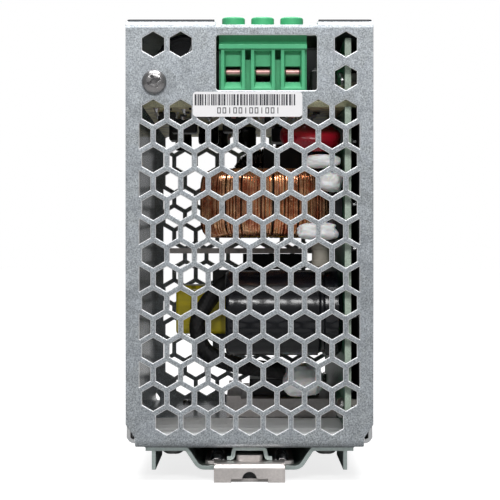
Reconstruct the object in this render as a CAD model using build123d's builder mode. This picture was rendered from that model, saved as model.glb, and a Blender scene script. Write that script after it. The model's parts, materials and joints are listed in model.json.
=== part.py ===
from build123d import *
import math
import os

# DIN rail power supply, 240 W class, in millimetres.
# X is the width, Y the height of the mounted unit (its input terminals are at -Y, its output
# terminals at +Y), Z the depth: Z = 0 is the plane in which the 35 mm rail lies against the
# bracket, and the front panel faces +Z. The origin is the middle of the rail's seat.

# ---------------------------------------------------------------- driving dimensions
WIDTH = 63.0  # case, side to side
HEIGHT = 125.2  # case, end panel to end panel
FRONT_Z = 114.5  # outer face of the front panel
REAR_Z = 5.8  # outer face of the rear flanges
SHEET = 1.0  # case sheet
BEND = 1.8  # outer bend radius of the case
GAP = 0.1  # play between parts that are fastened together

HALF_W = WIDTH / 2
HALF_H = HEIGHT / 2

# honeycomb vents of both end panels
HEX_PITCH = 7.0
HEX_FLAT = 5.93
HEX_ROWS = 14
HEX_TOP_Z = 91.25
HEX_ROW_STEP = HEX_PITCH * math.sqrt(3) / 2
HEX_CLIP = 28.15  # the outermost half cells stop here

# rear flanges and corners of the cover
FLANGE_LENGTH = 16.0
FLANGE_HALF_W = 26.6
CORNER_X = 29.1

# chassis (left wall, rear wall, right wall)
CHASSIS_HALF_W = 31.3
CHASSIS_REAR_Z = 6.85
CHASSIS_END_Y = HALF_H - SHEET - GAP
CHASSIS_RELIEF = 1.3  # corners cut away beside the cover's bends
CHASSIS_FRONT_Z = FRONT_Z - SHEET - GAP
CHASSIS_BEND = 1.8

# fasteners
M3_R = 1.45
M3_HOLE_R = 1.5
M3_CLEAR_R = 1.7
END_SCREW_X = -24.2
END_SCREW_Z = 98.9
BRACKET_SCREW_X = 19.9
BRACKET_SCREW_Y = 50.6
PAN_HEAD_R = 3.1
PAN_HEAD_H = 1.9

# standoffs between the right wall and the main board
STANDOFF_YZ = [(y, z) for y in (-50.0, 50.0) for z in (15.0, 100.0)]
STANDOFF_R = 2.6
STANDOFF_BOSS_R = 2.15

# front overlay
OVERLAY = 0.5
OVERLAY_HALF_W = 31.2
OVERLAY_HALF_H = 60.9

# boards
BOARD = 1.6
MAIN_X = 24.4  # component side of the main board
MAIN_Z0 = 10.4
MAIN_Z1 = 110.4
MAIN_HALF_L = 59.6
FRONT_BOARD_Z = 93.0
FRONT_BOARD_HALF_L = 57.6
FRONT_BOARD_X0 = -27.4
LAP_LENGTH = 8.0  # the front board's tongues that pass the main board

# terminals
PITCH = 7.62
BLOCK_Y = 62.4  # wire entry face, from the centre
BLOCK_DEPTH = 21.8
BLOCK_BASE_Z = FRONT_BOARD_Z + BOARD
BLOCK_TOP_Z = 112.6
BOSS_R = 3.0
BOSS_TOP_Z = 117.0
SCREW_Y = 48.6
INPUT_X = 3.43
INPUT_POLES = 3
OUTPUT_X = -3.0
OUTPUT_POLES = 4
CLAMP_TRAVEL = 2.6  # rise of a clamping cage from fully open

# rail bracket and latch
BRACKET = 1.0
BRACKET_HALF_W = 26.6
BRACKET_HALF_L = 59.6
RAIL_HALF = 17.5  # half the width of a 35 mm rail
LIP = 1.25  # room for the rail's 1 mm lip
LATCH_TRAVEL = 7.0  # pull needed to free the rail
LATCH_Z = 1.15
LATCH = 0.9
LATCH_TIP_Y = -65.1
SPRING_X = 8.5
SPRING_R = 1.5
SPRING_Z = 1.15
SPRING_Y0 = -56.0
SPRING_Y1 = -34.0

# trimmer and status light
TRIM_XY = (20.0, 24.0)
TRIM_HOLE_R = 3.6
LED_XY = (20.0, 12.0)
LED_HOLE_R = 1.7

os.makedirs("parts", exist_ok=True)


def save(builder, name):
    builder.part.label = name
    export_step(builder.part, f"parts/{name}.step")


def pole_xs(centre, count):
    return [centre + PITCH * (i - (count - 1) / 2) for i in range(count)]


INPUT_XS = pole_xs(INPUT_X, INPUT_POLES)
OUTPUT_XS = pole_xs(OUTPUT_X, OUTPUT_POLES)
INPUT_OPENING = (-8.66, 17.33, 96.6, 111.0)
OUTPUT_OPENING = (OUTPUT_X - 16.6, OUTPUT_X + 16.6, 96.6, 111.0)
CUTOUT_DEPTH = 22.8  # front panel cutout over a terminal block, from the end panel


# ---------------------------------------------------------------- case
def vent_cells():
    # point-up hexagons; every other row is shifted and has a clipped half cell at each end
    cells = []
    for row in range(HEX_ROWS):
        z = HEX_TOP_Z - row * HEX_ROW_STEP
        if row % 2 == 0:
            xs = [HEX_PITCH * (i - 3.5) for i in range(8)]
        elif row < HEX_ROWS - 1:
            xs = [HEX_PITCH * (i - 4) for i in range(9)]
        else:
            xs = [HEX_PITCH * (i - 3) for i in range(7)]
        cells += [(x, z) for x in xs]
    return cells


EXTRA_CELLS = [(-24.5, 108.5), (-17.5, 108.5), (24.5, 108.5), (24.5, 100.0)]

with BuildPart() as front_cover:
    # a bent strip: rear flange, end panel, front panel, end panel, rear flange
    with BuildSketch(Plane.YZ):
        with Locations((0, (FRONT_Z + REAR_Z) / 2)):
            RectangleRounded(HEIGHT, FRONT_Z - REAR_Z, BEND)
            RectangleRounded(
                HEIGHT - 2 * SHEET, FRONT_Z - REAR_Z - 2 * SHEET, BEND - SHEET, mode=Mode.SUBTRACT
            )
        with Locations((0, REAR_Z)):
            Rectangle(HEIGHT - 2 * FLANGE_LENGTH, 4 * SHEET, mode=Mode.SUBTRACT)
    extrude(amount=HALF_W, both=True)
    # slanted corners beside the rear flanges
    with BuildSketch(Plane.XZ):
        with BuildLine():
            FilletPolyline(
                (HALF_W + 1, 13.3),
                (CORNER_X, 8.4),
                (CORNER_X, REAR_Z + 0.3),
                (FLANGE_HALF_W, REAR_Z + 0.3),
                (FLANGE_HALF_W, REAR_Z - 1),
                (HALF_W + 1, REAR_Z - 1),
                radius=0.3,
            )
            Line((HALF_W + 1, REAR_Z - 1), (HALF_W + 1, 13.3))
        make_face()
        mirror(about=Plane.YZ)
    extrude(amount=HALF_H + 1, both=True, mode=Mode.SUBTRACT)
    # honeycomb through both end panels
    with BuildSketch(Plane.XZ):
        with Locations(*vent_cells()):
            RegularPolygon(HEX_FLAT / 2, 6, major_radius=False, rotation=30)
        with Locations((0, HEX_TOP_Z - 40)):
            Rectangle(2 * HEX_CLIP, 120, mode=Mode.INTERSECT)
        with Locations(*EXTRA_CELLS):
            RegularPolygon(HEX_FLAT / 2, 6, major_radius=False, rotation=30)
    extrude(amount=HALF_H + 1, both=True, mode=Mode.SUBTRACT)
    # terminal windows in the end panels, and the cutouts above them in the front panel
    for side, (x0, x1, z0, z1) in ((-1, INPUT_OPENING), (1, OUTPUT_OPENING)):
        with BuildSketch(Plane.XZ.offset(-side * (HALF_H - 3))):
            with Locations(((x0 + x1) / 2, (z0 + z1) / 2)):
                RectangleRounded(x1 - x0, z1 - z0, 0.9)
        extrude(amount=-side * 5, mode=Mode.SUBTRACT)
        cut_y = side * (HALF_H - CUTOUT_DEPTH / 2 + 1)
        with Locations(((x0 + x1) / 2, cut_y, FRONT_Z)):
            Box(x1 - x0, CUTOUT_DEPTH + 2, 2 * SHEET, mode=Mode.SUBTRACT)
    # clearance holes: end screws, bracket screws, light pipe and trimmer
    with BuildSketch(Plane.XZ):
        with Locations((END_SCREW_X, END_SCREW_Z)):
            Circle(M3_CLEAR_R)
    extrude(amount=HALF_H + 1, both=True, mode=Mode.SUBTRACT)
    with BuildSketch(Plane.XY.offset(REAR_Z - 1)):
        with GridLocations(2 * BRACKET_SCREW_X, 2 * BRACKET_SCREW_Y, 2, 2):
            Circle(M3_CLEAR_R)
    extrude(amount=3, mode=Mode.SUBTRACT)
    with BuildSketch(Plane.XY.offset(FRONT_Z - 2)):
        with Locations(TRIM_XY):
            Circle(TRIM_HOLE_R)
        with Locations(LED_XY):
            Circle(LED_HOLE_R)
    extrude(amount=4, mode=Mode.SUBTRACT)
save(front_cover, "front_cover")

TAB_X1 = -18.6  # free edge of the tabs for the end screws

with BuildPart() as chassis:
    with BuildSketch(Plane.XZ):
        with BuildLine():
            FilletPolyline(
                (-CHASSIS_HALF_W, CHASSIS_FRONT_Z),
                (-CHASSIS_HALF_W, CHASSIS_REAR_Z),
                (CHASSIS_HALF_W, CHASSIS_REAR_Z),
                (CHASSIS_HALF_W, CHASSIS_FRONT_Z),
                radius=CHASSIS_BEND,
            )
            Line((CHASSIS_HALF_W, CHASSIS_FRONT_Z), (CHASSIS_HALF_W - SHEET, CHASSIS_FRONT_Z))
            FilletPolyline(
                (CHASSIS_HALF_W - SHEET, CHASSIS_FRONT_Z),
                (CHASSIS_HALF_W - SHEET, CHASSIS_REAR_Z + SHEET),
                (-CHASSIS_HALF_W + SHEET, CHASSIS_REAR_Z + SHEET),
                (-CHASSIS_HALF_W + SHEET, CHASSIS_FRONT_Z),
                radius=CHASSIS_BEND - SHEET,
            )
            Line((-CHASSIS_HALF_W + SHEET, CHASSIS_FRONT_Z), (-CHASSIS_HALF_W, CHASSIS_FRONT_Z))
        make_face()
    extrude(amount=CHASSIS_END_Y, both=True)
    # tabs folded behind the end panels for the end screws
    for side in (-1, 1):
        tab_y = side * (CHASSIS_END_Y - SHEET / 2)
        with Locations(((TAB_X1 - CHASSIS_HALF_W + 0.2) / 2, tab_y, END_SCREW_Z + 0.3)):
            Box(TAB_X1 + CHASSIS_HALF_W - 0.2, SHEET, 8.4)
    with BuildSketch(Plane.XZ):
        with Locations((END_SCREW_X, END_SCREW_Z)):
            Circle(M3_HOLE_R)
    extrude(amount=HALF_H, both=True, mode=Mode.SUBTRACT)
    with BuildSketch(Plane.XY.offset(CHASSIS_REAR_Z - 1)):
        with GridLocations(2 * BRACKET_SCREW_X, 2 * BRACKET_SCREW_Y, 2, 2):
            Circle(M3_HOLE_R)
    extrude(amount=3, mode=Mode.SUBTRACT)
    # holes in the right wall where the standoffs are clinched
    with BuildSketch(Plane.YZ.offset(CHASSIS_HALF_W - 2)):
        with Locations(*STANDOFF_YZ):
            Circle(STANDOFF_BOSS_R + 0.02)
    extrude(amount=3, mode=Mode.SUBTRACT)
    # relief beside the four bends of the cover
    for y in (-CHASSIS_END_Y, CHASSIS_END_Y):
        for z in (CHASSIS_REAR_Z, CHASSIS_FRONT_Z):
            with Locations((0, y, z)):
                Box(WIDTH, 2 * CHASSIS_RELIEF, 2 * CHASSIS_RELIEF, mode=Mode.SUBTRACT)
save(chassis, "chassis")


def pan_screw(length, head_r=PAN_HEAD_R, head_h=PAN_HEAD_H):
    # half section of a pan head screw about the local Y axis, head underside at y = 0
    with BuildSketch(mode=Mode.PRIVATE) as section:
        with BuildLine():
            Polyline((0, -length), (M3_R - 0.3, -length), (M3_R, -length + 0.3), (M3_R, 0), (head_r, 0))
            Line((head_r, 0), (head_r, head_h * 0.35))
            ThreePointArc(
                (head_r, head_h * 0.35), (head_r * 0.76, head_h * 0.84), (head_r * 0.35, head_h)
            )
            Line((head_r * 0.35, head_h), (0, head_h))
            Line((0, head_h), (0, -length))
        make_face()
    screw = revolve(section.sketch, axis=Axis.Y, mode=Mode.PRIVATE)
    blade = Pos(0, head_h - 0.55, 0) * Box(3.5, 1.4, 0.8, mode=Mode.PRIVATE)
    blade += Pos(0, head_h - 0.55, 0) * Box(0.8, 1.4, 3.5, mode=Mode.PRIVATE)
    core = Pos(0, head_h - 0.8, 0) * Rot(90, 0, 0) * Cylinder(0.85, 1.9, mode=Mode.PRIVATE)
    return screw - blade - core


def screw_group(name, length, places, **head):
    # places are locations whose local +Y points out of the screw's head
    body = pan_screw(length, **head)
    with BuildPart() as group:
        for place in places:
            add(place * body)
    save(group, name)


end_places = [
    Location((END_SCREW_X, -HALF_H, END_SCREW_Z), (0, 0, 180)) * Location((0, 0, 0), (0, 22, 0)),
    Location((END_SCREW_X, HALF_H, END_SCREW_Z)) * Location((0, 0, 0), (0, -31, 0)),
]
screw_group("cover_screws", 4.0, end_places)

BRACKET_FACE_Z = REAR_Z - BRACKET
rear_places = [
    Location((sx * BRACKET_SCREW_X, sy * BRACKET_SCREW_Y, BRACKET_FACE_Z), (-90, 0, 0))
    for sx in (-1, 1)
    for sy in (-1, 1)
]
screw_group("bracket_screws", 4.0, rear_places, head_r=2.85, head_h=1.65)

with BuildPart() as front_overlay:
    with BuildSketch(Plane.XY.offset(FRONT_Z)):
        RectangleRounded(2 * OVERLAY_HALF_W, 2 * OVERLAY_HALF_H, 1.0)
        for side, (x0, x1, z0, z1) in ((-1, INPUT_OPENING), (1, OUTPUT_OPENING)):
            with Locations(((x0 + x1) / 2, side * (HALF_H - CUTOUT_DEPTH / 2 + 1))):
                Rectangle(x1 - x0 + 0.6, CUTOUT_DEPTH + 2.6, mode=Mode.SUBTRACT)
        with Locations(TRIM_XY):
            Circle(TRIM_HOLE_R, mode=Mode.SUBTRACT)
        with Locations(LED_XY):
            Circle(LED_HOLE_R, mode=Mode.SUBTRACT)
    extrude(amount=OVERLAY)
save(front_overlay, "front_overlay")

with BuildPart() as serial_label:
    with BuildSketch(Plane.XZ.offset(HALF_H)):
        with Locations((-0.48, 93.23)):
            RectangleRounded(27.84, 6.34, 0.9)
    extrude(amount=0.12)
save(serial_label, "serial_label")

# ---------------------------------------------------------------- rail bracket and latch
HAT_CENTRE = BRACKET / 2
FLANGE_CENTRE = REAR_Z - BRACKET / 2
HAT_FOOT_X = 12.9
HAT_TOP_X = 16.1
HOOK_XS = (-6.8, 6.8)
HOOK_W = 9.0
HOOK_Y = RAIL_HALF + 0.5  # face of a hook's shank, beside the rail's edge
LUG_X = 24.5
LUG_LENGTH = 34.0

with BuildPart() as rail_bracket:
    # hat section: two flanges on the case, two slopes and the rail's seat
    with BuildSketch(Plane.XZ):
        with BuildLine():
            FilletPolyline(
                (-BRACKET_HALF_W, FLANGE_CENTRE),
                (-HAT_TOP_X, FLANGE_CENTRE),
                (-HAT_FOOT_X, HAT_CENTRE),
                (HAT_FOOT_X, HAT_CENTRE),
                (HAT_TOP_X, FLANGE_CENTRE),
                (BRACKET_HALF_W, FLANGE_CENTRE),
                radius=[1.0, 2.6, 2.6, 1.0],
            )
        trace(line_width=BRACKET)
    extrude(amount=BRACKET_HALF_L, both=True)
    # side legs beyond the rail, down to the seat plane
    for side_x in (-1, 1):
        for side_y in (-1, 1):
            leg_y = side_y * (BRACKET_HALF_L - LUG_LENGTH / 2)
            with Locations((side_x * LUG_X, leg_y, FLANGE_CENTRE / 2)):
                Box(BRACKET, LUG_LENGTH, FLANGE_CENTRE)
    # flap that closes the channel at its far end
    with BuildSketch(Plane.XZ.offset(-BRACKET_HALF_L)):
        with BuildLine():
            Polyline(
                (-HAT_FOOT_X, HAT_CENTRE),
                (HAT_FOOT_X, HAT_CENTRE),
                (HAT_TOP_X - 0.4, REAR_Z - 0.2),
                (-HAT_TOP_X + 0.4, REAR_Z - 0.2),
                close=True,
            )
        make_face()
    extrude(amount=BRACKET)
    # slots for the shanks of the rail hooks
    for x in HOOK_XS:
        with Locations((x, HOOK_Y + BRACKET / 2, HAT_CENTRE)):
            Box(HOOK_W + 2 * GAP, BRACKET + 2 * GAP, 3 * BRACKET, mode=Mode.SUBTRACT)
    # window for the latch's catch, and the slots that hold its springs
    window = LATCH_TRAVEL + 2.4
    with Locations((0, -RAIL_HALF - 0.6 - window / 2, HAT_CENTRE)):
        Box(19.6, window, 3 * BRACKET, mode=Mode.SUBTRACT)
    spring_slot_y = (SPRING_Y0, SPRING_Y1 + 3.0)
    for x in (-SPRING_X, SPRING_X):
        with Locations((x, sum(spring_slot_y) / 2, HAT_CENTRE)):
            Box(3.4, spring_slot_y[1] - spring_slot_y[0], 3 * BRACKET, mode=Mode.SUBTRACT)
    with BuildSketch(Plane.XY.offset(REAR_Z - 2)):
        with GridLocations(2 * BRACKET_SCREW_X, 2 * BRACKET_SCREW_Y, 2, 2):
            Circle(M3_CLEAR_R)
    extrude(amount=4, mode=Mode.SUBTRACT)
save(rail_bracket, "rail_bracket")

HOOK_TIP = 4.6  # from the outside of the shank to the tip
HOOK_FOOT = 6.0

with BuildPart() as rail_hooks:
    # bent strips: a foot on the bracket's inner face, a shank, a tip under the rail's upper lip
    for x in HOOK_XS:
        with BuildSketch(Plane.YZ.offset(x - HOOK_W / 2)):
            with BuildLine():
                Polyline(
                    (HOOK_Y + HOOK_FOOT, 1.5 * BRACKET),
                    (HOOK_Y + BRACKET / 2, 1.5 * BRACKET),
                    (HOOK_Y + BRACKET / 2, -LIP - BRACKET / 2),
                    (HOOK_Y + BRACKET - HOOK_TIP, -LIP - BRACKET / 2),
                )
            trace(line_width=BRACKET)
        extrude(amount=HOOK_W)
save(rail_hooks, "rail_hooks")

with BuildPart() as latch_guide:
    # strap whose feet keep the latch plate on the bracket
    with BuildSketch(Plane.XZ.offset(50.0)):
        with BuildLine():
            FilletPolyline(
                (-5.8, 2.75), (-4.4, 2.75), (-3.9, 5.2), (3.9, 5.2), (4.4, 2.75), (5.8, 2.75), radius=0.7
            )
        trace(line_width=1.0)
    extrude(amount=8.0)
save(latch_guide, "latch_guide")

TAB_BACK_Y = LATCH_TIP_Y + LATCH
CATCH_Y = -RAIL_HALF - 1.2
TAB_BOTTOM_Z = -2.6
NOTCH_Z = -1.7

with BuildPart() as rail_latch:
    # one bent strip, seen from the side: pull tab, plate, catch under the rail's lower lip
    with BuildSketch(Plane.YZ):
        with BuildLine():
            FilletPolyline(
                (LATCH_TIP_Y + LATCH / 2, TAB_BOTTOM_Z),
                (LATCH_TIP_Y + LATCH / 2, LATCH_Z + LATCH / 2),
                (CATCH_Y - LATCH / 2, LATCH_Z + LATCH / 2),
                (CATCH_Y - LATCH / 2, -LIP - LATCH / 2),
                (CATCH_Y + 3.6, -LIP - LATCH / 2),
                radius=0.75,
            )
        trace(line_width=LATCH)
    extrude(amount=9.0, both=True)
    # wider middle with the spring windows
    with BuildSketch(Plane.XY.offset(LATCH_Z)):
        with Locations((0, -45.0)):
            RectangleRounded(22.8, 26.0, 1.5)
    extrude(amount=LATCH)
    with BuildSketch(Plane.XY.offset(LATCH_Z - 1)):
        with Locations(*[(s * SPRING_X, (SPRING_Y0 + SPRING_Y1) / 2) for s in (-1, 1)]):
            Rectangle(3.5, SPRING_Y1 - SPRING_Y0)
    extrude(amount=4, mode=Mode.SUBTRACT)
    # stiffening rib
    with BuildSketch(Plane.XY.offset(LATCH_Z + LATCH)):
        with Locations((0, -46.0)):
            RectangleRounded(6.8, 24.0, 1.0)
    extrude(amount=1.5)
    # folded lip under the pull tab
    with Locations((0, TAB_BACK_Y + 1.4, TAB_BOTTOM_Z + 0.4)):
        Box(18.0, 3.0, 0.8)
    # rounded top corners of the tab
    with BuildSketch(Plane.XZ.offset(-TAB_BACK_Y - 0.6)):
        with Locations((0, LATCH_Z + LATCH - 1.0)):
            Rectangle(22.0, 2.0)
            Rectangle(16.0, 2.0, mode=Mode.SUBTRACT)
        with Locations(*[(s * 8.0, LATCH_Z + LATCH - 1.0) for s in (-1, 1)]):
            Circle(1.0, mode=Mode.SUBTRACT)
        with Locations((0, LATCH_Z + LATCH - 1.5)):
            Rectangle(22.0, 1.0, mode=Mode.SUBTRACT)
    extrude(amount=3.0, mode=Mode.SUBTRACT)
    # screwdriver notch: a half round above a wide slot
    with BuildSketch(Plane.XZ.offset(-LATCH_TIP_Y - 2 * LATCH)) as notch:
        with BuildLine():
            Polyline((-4.65, TAB_BOTTOM_Z - 1), (-4.65, NOTCH_Z), (-1.82, NOTCH_Z))
            ThreePointArc((-1.82, NOTCH_Z), (0, NOTCH_Z + 1.82), (1.82, NOTCH_Z))
            Polyline((1.82, NOTCH_Z), (4.65, NOTCH_Z), (4.65, TAB_BOTTOM_Z - 1), (-4.65, TAB_BOTTOM_Z - 1))
        make_face()
    extrude(to_extrude=notch.sketch, amount=4.0, mode=Mode.SUBTRACT)
save(rail_latch, "rail_latch")

with BuildPart() as latch_springs:
    # envelopes of the two compression springs
    for side in (-1, 1):
        with BuildSketch(Plane.XZ.offset(-SPRING_Y1)):
            with Locations((side * SPRING_X, SPRING_Z)):
                Circle(SPRING_R)
                Circle(SPRING_R - 0.45, mode=Mode.SUBTRACT)
        extrude(amount=SPRING_Y1 - SPRING_Y0)
save(latch_springs, "latch_springs")

# ---------------------------------------------------------------- boards
LAP_END_Y = FRONT_BOARD_HALF_L - LAP_LENGTH

with BuildPart() as main_board:
    with BuildSketch(Plane.YZ.offset(MAIN_X)):
        with Locations((0, (MAIN_Z0 + MAIN_Z1) / 2)):
            Rectangle(2 * MAIN_HALF_L, MAIN_Z1 - MAIN_Z0)
        with Locations(*STANDOFF_YZ):
            Circle(M3_CLEAR_R, mode=Mode.SUBTRACT)
        # slots that the front board's tongues pass through
        for side in (-1, 1):
            with Locations((side * (LAP_END_Y - 0.2 + 10), FRONT_BOARD_Z + BOARD / 2)):
                Rectangle(20, BOARD + 0.2, mode=Mode.SUBTRACT)
    extrude(amount=BOARD)
save(main_board, "main_board")

PIN_DEPTH = 18.4  # contact pins behind the wire entry face
PIN_HOLE_R = 0.95


def pin_places():
    inputs = [(x, -(BLOCK_Y - PIN_DEPTH)) for x in INPUT_XS]
    outputs = [(x, BLOCK_Y - PIN_DEPTH) for x in OUTPUT_XS]
    return inputs + outputs


with BuildPart() as front_board:
    with BuildSketch(Plane.XY.offset(FRONT_BOARD_Z)):
        board_x1 = MAIN_X - GAP
        with Locations(((FRONT_BOARD_X0 + board_x1) / 2, 0)):
            Rectangle(board_x1 - FRONT_BOARD_X0, 2 * FRONT_BOARD_HALF_L)
        for side in (-1, 1):
            with Locations((board_x1 + 1.6, side * (FRONT_BOARD_HALF_L - LAP_LENGTH / 2))):
                Rectangle(3.3, LAP_LENGTH)
        with Locations(*pin_places()):
            Circle(PIN_HOLE_R, mode=Mode.SUBTRACT)
    extrude(amount=BOARD)
save(front_board, "front_board")

STANDOFF_X0 = MAIN_X + BOARD
WALL_X = CHASSIS_HALF_W - SHEET

with BuildPart() as board_standoffs:
    with BuildSketch(Plane.YZ.offset(STANDOFF_X0)):
        with Locations(*STANDOFF_YZ):
            RegularPolygon(STANDOFF_R, 6)
            Circle(M3_HOLE_R, mode=Mode.SUBTRACT)
    extrude(amount=WALL_X - STANDOFF_X0)
    with BuildSketch(Plane.YZ.offset(WALL_X)):
        with Locations(*STANDOFF_YZ):
            Circle(STANDOFF_BOSS_R)
    extrude(amount=SHEET)
save(board_standoffs, "board_standoffs")

board_places = [Location((MAIN_X, y, z), (0, 0, 90)) for y, z in STANDOFF_YZ]
screw_group("board_screws", 5.0, board_places, head_r=2.7, head_h=1.7)

INSULATOR = 0.4
INSULATOR_X = 28.0

with BuildPart() as side_insulator:
    with BuildSketch(Plane.YZ.offset(INSULATOR_X)):
        with Locations((0, 60.2)):
            RectangleRounded(119.0, 101.6, 2.0)
        with Locations(*STANDOFF_YZ):
            Circle(4.0, mode=Mode.SUBTRACT)
    extrude(amount=INSULATOR)
save(side_insulator, "side_insulator")

REAR_SHEET_Z = 8.95
REAR_SHEET_Y = (-60.8, -17.6)

with BuildPart() as rear_insulator:
    with BuildSketch(Plane.XY.offset(REAR_SHEET_Z)):
        with Locations((-1.2, sum(REAR_SHEET_Y) / 2)):
            RectangleRounded(57.2, REAR_SHEET_Y[1] - REAR_SHEET_Y[0], 1.0)
    extrude(amount=INSULATOR)
save(rear_insulator, "rear_insulator")

with BuildPart() as pin_header:
    # right-angle header that joins the two boards
    with Locations((MAIN_X - 1.4, 0, FRONT_BOARD_Z - 1.4)):
        Box(2.5, 40.0, 2.5)
    with BuildSketch(Plane.XY.offset(FRONT_BOARD_Z - 4.4)):
        with Locations((MAIN_X - 1.4, 0)):
            with GridLocations(1, 2.54, 1, 15):
                Rectangle(0.64, 0.64)
    extrude(amount=1.8)
save(pin_header, "pin_header")

with BuildPart() as solder_joints:
    # fillets around the contact pins under the front board
    with BuildSketch(Plane.XY.offset(FRONT_BOARD_Z)):
        with Locations(*pin_places()):
            Circle(1.8)
            Circle(PIN_HOLE_R, mode=Mode.SUBTRACT)
    extrude(amount=-1.3, taper=24)
    # lead tips behind the main board
    tips = [(y, z) for y in range(-54, 56, 9) for z in (20, 39, 56.5, 68, 84.3)]
    with BuildSketch(Plane.YZ.offset(STANDOFF_X0)):
        with Locations(*tips):
            Circle(1.1)
    extrude(amount=0.8, taper=30)
    with BuildSketch(Plane.YZ.offset(STANDOFF_X0 + 0.7)):
        with Locations(*tips):
            Circle(0.4)
    extrude(amount=0.9)
save(solder_joints, "solder_joints")

# parts that hang under the front board: x, y, and the size along X, Y, Z
UNDER_PARTS = [
    (-22.0, -40.0, 6.0, 5.0, 3.0),
    (-12.0, -46.0, 5.0, 6.2, 1.8),
    (-3.0, -34.0, 9.0, 4.0, 2.6),
    (8.0, -50.0, 4.0, 4.0, 2.2),
    (-18.0, -22.0, 7.0, 7.0, 4.4),
    (-5.0, -14.0, 5.0, 9.0, 3.6),
    (5.5, -28.0, 4.2, 6.0, 3.2),
    (-21.0, -2.0, 4.0, 10.0, 5.2),
    (-12.0, 6.0, 8.0, 6.0, 5.6),
    (-1.0, 16.0, 6.0, 6.0, 6.2),
    (9.0, 10.0, 5.0, 12.0, 5.0),
    (-20.0, 24.0, 7.0, 5.0, 6.4),
    (-9.0, 30.0, 5.0, 8.0, 5.8),
    (11.0, 32.0, 8.0, 6.0, 6.0),
]

# parts that stand on its front side, behind the input terminals
OVER_PARTS = [
    (-4.5, -34.0, 15.0, 8.0, 15.2),
    (12.0, -34.0, 14.0, 8.0, 16.0),
    (18.9, -44.4, 5.6, 8.0, 9.3),
]

with BuildPart() as board_parts:
    for x, y, sx, sy, sz in UNDER_PARTS:
        with Locations((x, y, FRONT_BOARD_Z - sz / 2)):
            Box(sx, sy, sz)
    for x, y, sx, sy, sz in OVER_PARTS:
        with Locations((x, y, FRONT_BOARD_Z + BOARD + sz / 2)):
            Box(sx, sy, sz)
save(board_parts, "board_parts")

# ---------------------------------------------------------------- terminal blocks
CELL_HALF_W = 2.25
WIRE_HALF_W = 1.9
WIRE_Z = (99.1, 103.1)
BAR_Z = (100.9, 102.6)
BAR_HALF_W = 1.7
CHAMBER_HALF_W = 2.8
CHAMBER_HALF_L = 3.0
CAGE_HALF_W = 2.6
CAGE_HALF_L = 2.75
CAGE_Z = (96.9, 106.4)  # fully open
CHAMBER_Z = (CAGE_Z[0] - 0.2, CAGE_Z[1] + CLAMP_TRAVEL + 0.4)
THREAD_R = 1.5
HEAD_R = 2.2
HEAD_Z = 112.85
HEAD_H = 2.0
SLOT_HALF_W = 0.75
SLOT_DEPTH = 2.2
SLOT_TOP_Z = 107.2
END_TRIM = 0.25
END_SLOT = PITCH / 2 - END_TRIM - 3.06  # leaves the outer walls 3.06 from their pole centre


def box_between(x0, x1, y0, y1, z0, z1, mode=Mode.ADD):
    with Locations(((x0 + x1) / 2, (y0 + y1) / 2, (z0 + z1) / 2)):
        Box(abs(x1 - x0), abs(y1 - y0), abs(z1 - z0), mode=mode)


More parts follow.
